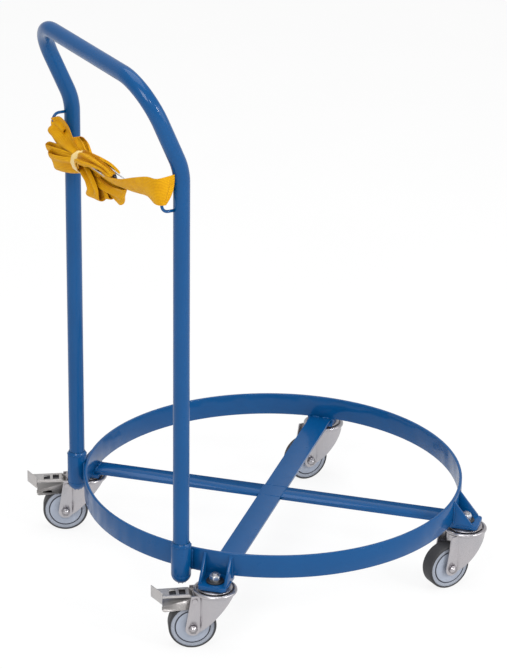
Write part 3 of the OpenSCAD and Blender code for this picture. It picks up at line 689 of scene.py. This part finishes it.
def light_studio():
    """A large key from the upper left, a fill on the right, a top light, and a strip and a spot in front for the
    highlights.
    """
    middle = (-50, 0, 250)
    lamp("key", (-2600, -2300, 2900), middle, (1.6, 1.6), 68)
    lamp("fill", (2600, -2200, 1500), middle, (2.4, 2.0), 26)
    lamp("top", (200, 500, 3400), middle, (2.6, 2.6), 48)
    lamp("strip", (1500, -3200, 2200), middle, (0.22, 0.9), 40)
    lamp("spot", (-900, -3300, 2900), middle, (0.35, 0.35), 14)


white_stage()
light_studio()
scene = bpy.context.scene
scene.view_settings.view_transform = "Standard"


# Strap: webbing drawn between two edges, gathered where they come close

WEBBING_W = 50.0
WEBBING_T = 1.8


def open_rails(first, second, samples=110):
    """Smooth edges of a single run of webbing, and the side that its folds go to."""
    return spline(first, samples), spline(second, samples), np.ones(samples)


def looped_rails(first, second, gap, samples=44):
    """Edges of a loop of webbing: out, round its end and back, gap mm apart at most."""
    a, b = spline(first, samples), spline(second, samples)
    along = unit(np.gradient((a + b) / 2, axis=0))
    normal = unit(np.cross(along, unit(b - a)))
    t = np.linspace(0, 1, samples)[:, None]
    half = gap / 2 * (0.25 + 0.75 * np.sin(math.pi / 2 * np.minimum(1.2 * t, 1)))
    turn = np.linspace(0, math.pi, 15)[1:-1, None]
    rails = []
    for rail in (a, b):
        end = rail[-1] + half[-1] * (np.cos(turn) * normal[-1] + np.sin(turn) * along[-1])
        rails.append(np.vstack([rail + normal * half, end, (rail - normal * half)[::-1]]))
    side = np.concatenate([np.ones(samples), np.cos(turn[:, 0]), -np.ones(samples)])
    return rails[0], rails[1], side


def gathered(side, samples):
    """How gathered each place of a run is: 1 at the neck, and less towards a loop's end."""
    if side.min() > 0:
        return np.ones(samples)
    t = np.linspace(-1, 1, samples)
    return np.minimum(1, 2.2 * np.abs(t) ** 1.3)


def webbing(name, rails, folds=2, depth=4.0, flip=1, valley=None, thick=WEBBING_T, across=33,
            body="handle"):
    """A ribbon between two edges. Where they are closer than the webbing is wide, the
    spare width goes into folds, at most depth mm deep. A valley is a lengthwise hollow:
    its place across, width, depth in mm, and where along the run it is deepest."""
    a, b, side = rails
    samples = len(a)
    u = np.linspace(0, 1, across)
    gap = np.linalg.norm(b - a, axis=1)
    along = unit(np.gradient((a + b) / 2, axis=0))
    normal = unit(np.cross(along, unit(b - a))) * side[:, None]
    spare = np.maximum(WEBBING_W / np.maximum(gap, 1) - 1, 0)
    deep = np.minimum(2 * gap / (folds * math.pi) * np.sqrt(spare), depth) * flip
    calm = np.minimum(1, 1.6 * np.abs(side)) * np.minimum(1, 0.15 + gathered(side, samples))
    height = (deep * calm)[:, None] * np.sin(math.pi * folds * u)[None, :]
    if valley:
        place, width, drop, middle = valley
        t = np.linspace(0, 1, samples)
        along_share = np.exp(-((t - middle) / 0.16) ** 2)
        height = height + drop * along_share[:, None] * np.exp(-((u - place) / width) ** 2)[None, :]
    grid = a[:, None] * (1 - u)[None, :, None] + b[:, None] * u[None, :, None]
    grid = grid + height[..., None] * normal[:, None]
    face_normal = unit(np.cross(np.gradient(grid, axis=0), np.gradient(grid, axis=1)))
    edge = 1 - 0.45 * np.exp(-np.minimum(u, 1 - u) * across)
    offset = face_normal * (thick / 2) * edge[None, :, None]
    vertices = np.vstack([(grid + offset).reshape(-1, 3), (grid - offset).reshape(-1, 3)])
    run = np.concatenate([[0], np.cumsum(np.linalg.norm(np.diff((a + b) / 2, axis=0), axis=1))])
    coordinates = [(u[j], run[i] * MM) for i in range(samples) for j in range(across)] * 2
    piece = new_piece(name, vertices, strip_faces(samples, across), WEBBING, body, 70)
    layer = piece.data.uv_layers.new(name="webbing")
    for loop in piece.data.loops:
        layer.data[loop.index].uv = coordinates[loop.vertex_index]
    return piece


def strip_faces(rows, columns):
    """Faces of a sheet with two sides: rows by columns points above, then the same below."""
    half = rows * columns
    faces = []
    for i in range(rows - 1):
        for j in range(columns - 1):
            p, q = i * columns + j, (i + 1) * columns + j
            faces.append((p, p + 1, q + 1, q))
            faces.append((half + q, half + q + 1, half + p + 1, half + p))
    for i in range(rows - 1):
        for j, turn in ((0, False), (columns - 1, True)):
            p, q = i * columns + j, (i + 1) * columns + j
            side = (p, q, half + q, half + p)
            faces.append(tuple(reversed(side)) if turn else side)
    for j in range(columns - 1):
        for i, turn in ((0, True), (rows - 1, False)):
            p = i * columns + j
            side = (p, p + 1, half + p + 1, half + p)
            faces.append(tuple(reversed(side)) if turn else side)
    return faces


# Loops of the bundle: edge points from the neck outward, then gap, folds and their depth
LOOPS = {
    "back": ([(-320, 60, 643), (-323, 95, 643), (-329, 135, 643), (-333, 165, 640), (-335, 187, 637)],
             [(-316, 60, 624), (-315, 95, 614), (-314, 135, 606), (-315, 170, 600), (-316, 194, 597)], 9, 3, 3.5),
    "front": ([(-327, 60, 640), (-331, 90, 641), (-336, 116, 638), (-340, 143, 634), (-342, 162, 632)],
              [(-322, 60, 622), (-322, 84, 616), (-321, 112, 608), (-321, 150, 599), (-322, 175, 595)], 9, 3, 3.5),
    "upper": ([(-316, 58, 626), (-314, 84, 631), (-312, 108, 637), (-311, 132, 644), (-309, 155, 648)],
              [(-317, 58, 645), (-316, 71, 652), (-314, 84, 658), (-311, 98, 664), (-308, 112, 665)], 9, 3, 4.5),
    "low_front": ([(-325, 80, 626), (-325, 64, 618), (-325, 46, 613), (-325, 42, 605), (-325, 48, 594)],
                  [(-323, 84, 648), (-324, 50, 640), (-325, 20, 628), (-325, 3, 614), (-325, 0, 600)], 14, 3, 4.5),
    "low_mid": ([(-317, 82, 626), (-317, 64, 618), (-317, 46, 610), (-317, 38, 601), (-317, 34, 592)],
                [(-316, 84, 648), (-316, 50, 641), (-316, 20, 630), (-316, 0, 616), (-316, -13, 604)], 9, 3, 4.5),
    "over": ([(-326, 82, 648), (-330, 64, 654), (-336, 40, 669), (-337, 8, 673), (-338, -22, 672),
              (-338, -50, 670), (-339, -66, 667)],
             [(-331, 82, 628), (-338, 64, 632), (-351, 40, 650), (-352, 16, 654), (-348, -6, 658),
              (-345, -34, 660), (-344, -60, 659)], 7, 4, 5.6),
    "low_near": ([(-322, 80, 636), (-322, 50, 632), (-323, 15, 629), (-323, -25, 630), (-320, -68, 636)],
                 [(-318, 78, 616), (-317, 50, 609), (-315, 18, 607), (-313, -14, 606), (-311, -40, 600)], 8, 3, 6),
}


def build_strap():
    """The whole strap: the short part with its loop, and the long part in its folds."""
    short_top = [(-341, 36, 655), (-341, 4, 655), (-341, -32, 655), (-341, -57, 656), (-339, -92, 663),
                 (-335, -130, 677), (-331, -168, 690), (-327, -190, 693), (-321, -200, 696), (-303, -205, 700),
                 (-299, -203, 699), (-299, -197, 688), (-303, -188, 679), (-308, -165, 677), (-313, -140, 672)]
    short_bottom = [(-305, 36, 623), (-305, 4, 623), (-305, -32, 624), (-309, -56, 631), (-314, -99, 639),
                    (-318, -146, 649), (-323, -170, 651), (-325, -185, 650), (-324.5, -198, 651), (-318.5, -205, 652),
                    (-315, -204, 652), (-313, -199, 650), (-313, -190, 650), (-314, -170, 650), (-316, -145, 652)]
    short = webbing("strap_short", open_rails(short_top, short_bottom, 170), 1, 4, -1)
    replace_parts(short, "strap_lead", "strap_web")

    drop_top = [(-314, 160, 668), (-315, 186, 676), (-316, 197, 673), (-319.5, 204, 674), (-323.5, 198, 676),
                (-322.5, 189, 680), (-319, 172, 685), (-319, 146, 680), (-320, 130, 668), (-321, 112, 658),
                (-321, 92, 651), (-322, 62, 647)]
    drop_bottom = [(-314, 165, 646), (-315, 186, 646), (-316, 197, 646), (-319.5, 204, 647), (-323.5, 198, 647),
                   (-324, 190, 645), (-325, 176, 640), (-326, 157, 636), (-327, 134, 639), (-327, 110, 640),
                   (-325, 88, 636), (-324, 60, 630)]
    drop = webbing("strap_drop", open_rails(drop_top, drop_bottom, 140), 2, 5, 1, (0.5, 0.2, 9, 0.62))
    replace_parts(drop, "strap_loops")

    for key, (first, second, gap, folds, depth) in LOOPS.items():
        webbing(f"strap_{key}", looped_rails(first, second, gap), folds, depth)

    tail_near = [(-324, 84, 640), (-327, 66, 650), (-330, 44, 663), (-331, 22, 667), (-330, 0, 668)]
    tail_far = [(-314, 84, 636), (-309, 66, 639), (-299, 44, 635), (-294, 22, 635), (-294, 0, 636)]
    tail = webbing("strap_tail_end", open_rails(tail_near, tail_far, 60), 1, 3, 1, None, 4.5, body=None)
    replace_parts(tail, "strap_tail")
    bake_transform(tail)


build_strap()


def tie_band():
    """The translucent band that holds the folds together at their neck."""
    rows, columns = 64, 9
    centre = np.array((-326.0, 74.0, 638.0))
    vertices = []
    for k in range(rows):
        angle = 2 * math.pi * k / rows
        squeeze = 1 + 0.06 * math.sin(3 * angle + 0.5)
        for j in range(columns):
            s = j / (columns - 1) * 2 - 1
            ripple = 0.5 * math.cos(9 * angle + 2.5 * s) + 0.5 * abs(s)
            x = (16.5 * squeeze + ripple) * math.cos(angle)
            z = (17.0 * squeeze + ripple) * math.sin(angle)
            vertices.append(centre + np.array((x, s * 9.5 + 1.2 * math.sin(angle * 2), z)))
    inner = [centre + (v - centre) * np.array((0.93, 1, 0.93)) for v in vertices]
    faces = []
    count = rows * columns
    for k in range(rows):
        a, b = k * columns, (k + 1) % rows * columns
        for j in range(columns - 1):
            faces.append((a + j, a + j + 1, b + j + 1, b + j))
            faces.append((count + b + j, count + b + j + 1, count + a + j + 1, count + a + j))
        faces.append((b, count + b, count + a, a))
        end = columns - 1
        faces.append((a + end, count + a + end, count + b + end, b + end))
    piece = new_piece("tie_band", vertices + inner, faces, TIE, "handle", 60)
    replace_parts(piece, "strap_tie", "strap_bundle")

tie_band()
